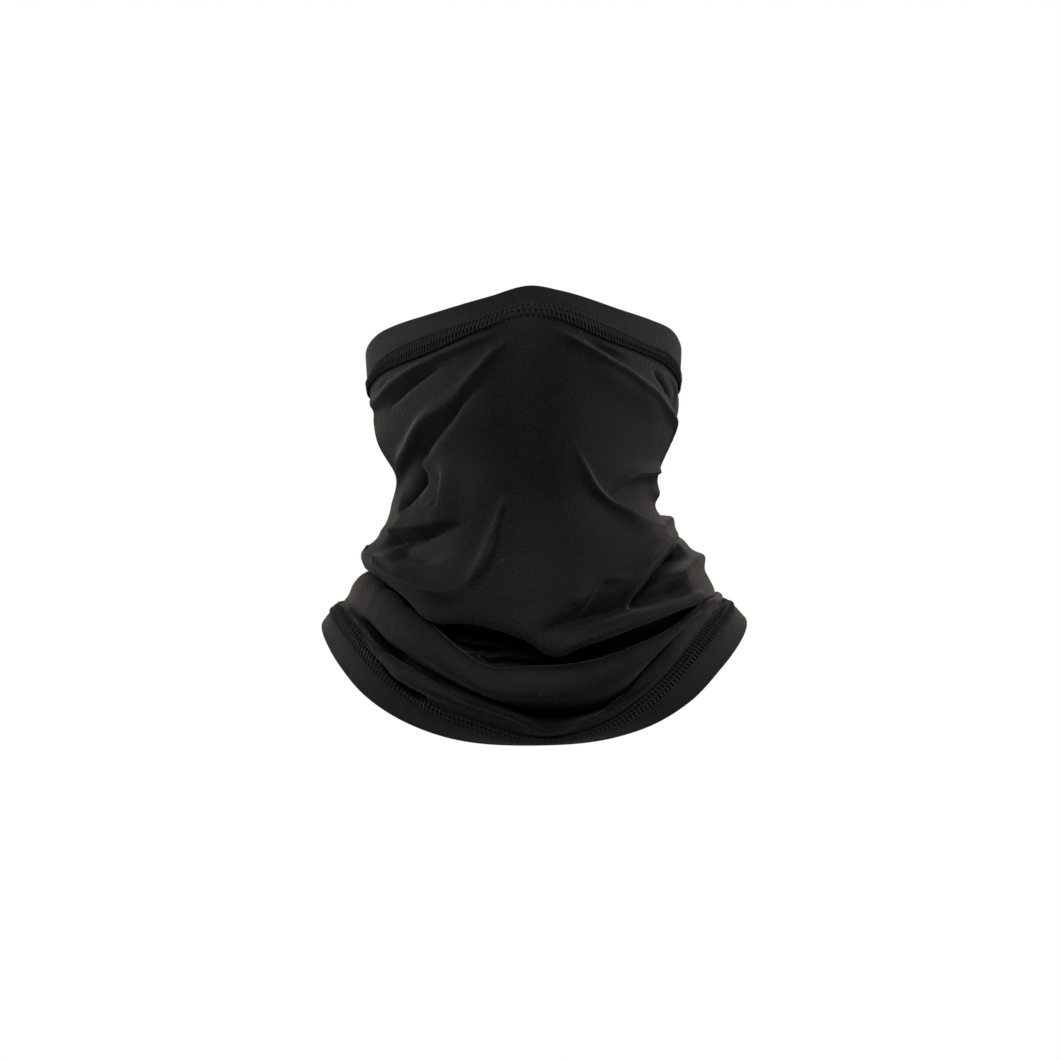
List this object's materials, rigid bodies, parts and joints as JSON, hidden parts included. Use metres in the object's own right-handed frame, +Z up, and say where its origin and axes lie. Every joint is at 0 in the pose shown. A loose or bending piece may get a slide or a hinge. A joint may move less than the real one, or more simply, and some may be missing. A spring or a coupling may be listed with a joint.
{
  "type": "neck gaiter",
  "caption": "Black knitted tube for the neck and lower face, with a folded, flat-seamed hem at each end, in the draped shape it takes when worn over the nose.",
  "frame": {"origin": "middle of the neck opening at the level where the tube is narrowest, under the chin", "axes": "+Z up the wearer's neck, -Y towards the face, +X towards the wearer's left"},
  "size_m": [0.2216, 0.2013, 0.2316],
  "materials": {
    "knit": "matte stretch jersey with a faint sheen",
    "thread": "satin polyester thread"
  },
  "bodies": {
    "root": {"fabric_tube": "knit", "top_hem": "knit", "bottom_hem": "knit", "top_seam_cover_thread": "thread", "top_seam_looper_thread": "thread", "top_seam_needle_thread_1": "thread", "top_seam_needle_thread_2": "thread", "top_seam_needle_thread_3": "thread", "bottom_seam_cover_thread": "thread", "bottom_seam_looper_thread": "thread", "bottom_seam_needle_thread_1": "thread", "bottom_seam_needle_thread_2": "thread", "bottom_seam_needle_thread_3": "thread", "back_seam_cover_thread": "thread", "back_seam_looper_thread": "thread", "back_seam_needle_thread_1": "thread", "back_seam_needle_thread_2": "thread"}
  },
  "joints": []
}
